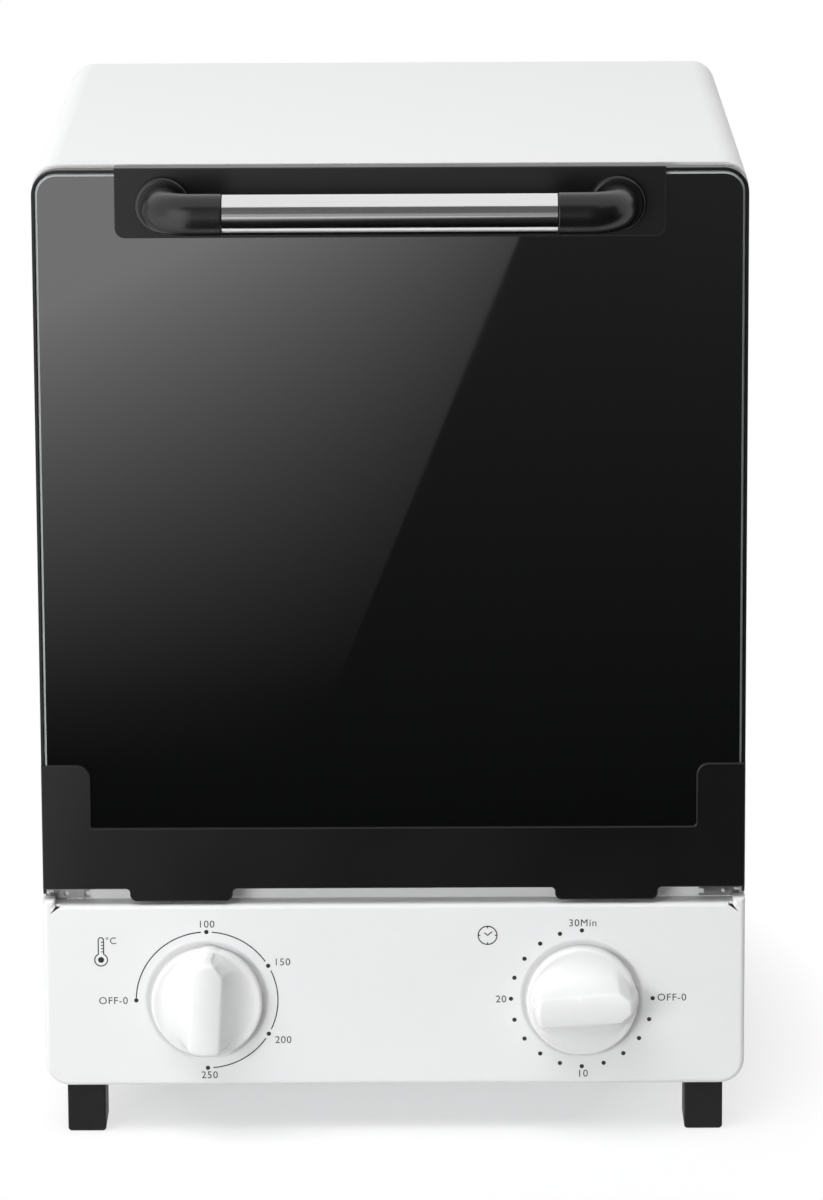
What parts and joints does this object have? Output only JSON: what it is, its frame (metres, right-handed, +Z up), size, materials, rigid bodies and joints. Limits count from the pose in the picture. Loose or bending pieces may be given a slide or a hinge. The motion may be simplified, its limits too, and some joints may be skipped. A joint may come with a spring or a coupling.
{
  "type": "countertop dry-heat steriliser cabinet",
  "caption": "White tabletop dry-heat steriliser: tall cabinet with a drop-down dark glass door, bar handle, temperature and timer dials, heated chamber with rack and tray, black feet.",
  "frame": {"origin": "middle of the object's footprint, on the surface it stands on", "axes": "+Z up, the door and dials face -Y, +X to the right seen from the front"},
  "size_m": [0.253, 0.2811, 0.355],
  "materials": {
    "painted_white": "satin white powder coat",
    "painted_black": "satin black enamel",
    "dark_glass": "dark mirror-coated toughened glass",
    "polished_steel": "polished",
    "galvanised": "galvanised sheet",
    "liner_steel": "aluminised sheet",
    "stainless": "stainless",
    "zinc_screws": "zinc plated",
    "black_plastic": "moulded, low sheen",
    "white_plastic": "glossy moulded",
    "control_body": "phenolic moulding",
    "ceramic": "unglazed"
  },
  "bodies": {
    "cabinet": {"outer_wrapper": "painted_white", "front_frame": "painted_white", "control_panel": "painted_white", "back_panel": "galvanised", "back_panel_screws": "zinc_screws", "bottom_plate": "galvanised", "foot_screws": "zinc_screws", "chamber_liner": "liner_steel", "heater_ceramics": "ceramic", "right_hinge_bracket": "galvanised", "left_hinge_bracket": "galvanised", "hinge_pins": "zinc_screws", "right_door_spring": "zinc_screws", "left_door_spring": "zinc_screws", "thermostat_body": "control_body", "timer_body": "control_body", "timer_bell": "zinc_screws", "dial_screws": "zinc_screws", "cord_gland": "black_plastic", "terminal_block": "ceramic", "front_left_foot": "black_plastic", "front_right_foot": "black_plastic", "rear_left_foot": "black_plastic", "rear_right_foot": "black_plastic", "lower_front_heater": "stainless", "lower_rear_heater": "stainless", "upper_front_heater": "stainless", "upper_rear_heater": "stainless"},
    "door": {"door_frame": "painted_black", "door_glass": "dark_glass", "door_bottom_rail": "painted_black", "right_door_arm": "galvanised", "left_door_arm": "galvanised", "handle_plate": "painted_black", "right_handle_elbow": "black_plastic", "left_handle_elbow": "black_plastic", "handle_bar": "polished_steel", "handle_screws": "zinc_screws"},
    "rack": {"wire_rack": "stainless"},
    "tray": {"instrument_tray": "stainless"},
    "temperature_dial": {"temperature_knob": "white_plastic", "thermostat_shaft": "zinc_screws"},
    "timer_dial": {"timer_knob": "white_plastic", "timer_shaft": "zinc_screws"}
  },
  "joints": [
    {"name": "door_hinge", "type": "hinge", "parent": "cabinet", "child": "door", "pos_m": [0, -0.10895, 0.0917], "axis": [1, 0, 0], "range_deg": [0, 90], "stiffness_Nm_per_rad": 0.3, "springref_deg": -57.3, "deforming": ["left_door_spring", "right_door_spring"]},
    {"name": "temperature_turn", "type": "hinge", "parent": "cabinet", "child": "temperature_dial", "pos_m": [-0.0677, -0.11105, 0.0503], "axis": [0, 1, 0], "range_deg": [-93, 177]},
    {"name": "timer_turn", "type": "hinge", "parent": "cabinet", "child": "timer_dial", "pos_m": [0.0677, -0.11105, 0.0503], "axis": [0, 1, 0], "range_deg": [0, 274]},
    {"name": "rack_slide", "type": "slide", "parent": "cabinet", "child": "rack", "axis": [0, -1, 0], "range_m": [0, 0.095]},
    {"name": "tray_slide", "type": "slide", "parent": "cabinet", "child": "tray", "axis": [0, -1, 0], "range_m": [0, 0.095]}
  ],
  "couplings": [
    {"joint": "rack_slide", "follows": "door_hinge", "m_per_rad": 0.06},
    {"joint": "tray_slide", "follows": "door_hinge", "m_per_rad": 0.06}
  ]
}
